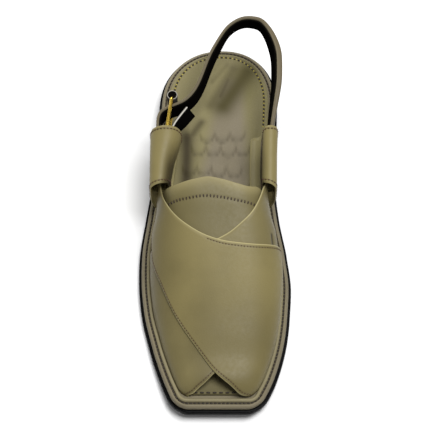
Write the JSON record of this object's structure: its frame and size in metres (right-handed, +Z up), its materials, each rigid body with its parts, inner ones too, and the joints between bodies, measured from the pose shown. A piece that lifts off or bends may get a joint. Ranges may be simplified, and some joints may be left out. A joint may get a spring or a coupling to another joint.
{
  "type": "peshawari chappal",
  "caption": "Open leather sandal for the right foot: two crossed bands over a broad square-toed stitched sole, side loops and a buckled heel strap.",
  "frame": {"origin": "on the floor, in the middle of the heel's resting face, 34 mm in front of the back of the welt", "axes": "+Z up from the floor, the toe points to -Y, +X is the inner side of the right foot"},
  "size_m": [0.1118, 0.294, 0.0794],
  "materials": {
    "khaki_leather": "satin, faintly grained",
    "welt_leather": "satin",
    "insole_leather": "matt",
    "black_rubber": "satin",
    "black_lining": "matt",
    "brass": "polished"
  },
  "bodies": {
    "root": {"outsole": "black_rubber", "heel": "black_rubber", "midsole": "welt_leather", "insole": "insole_leather", "rand": "welt_leather", "upper": "khaki_leather", "tongue": "khaki_leather", "quarter_outer": "khaki_leather", "quarter_inner": "khaki_leather", "heel_strap": "khaki_leather", "heel_strap_lining": "black_lining", "strap_tail": "black_lining", "buckle_frame": "brass", "buckle_roller": "black_lining", "buckle_prong": "brass"}
  },
  "joints": []
}
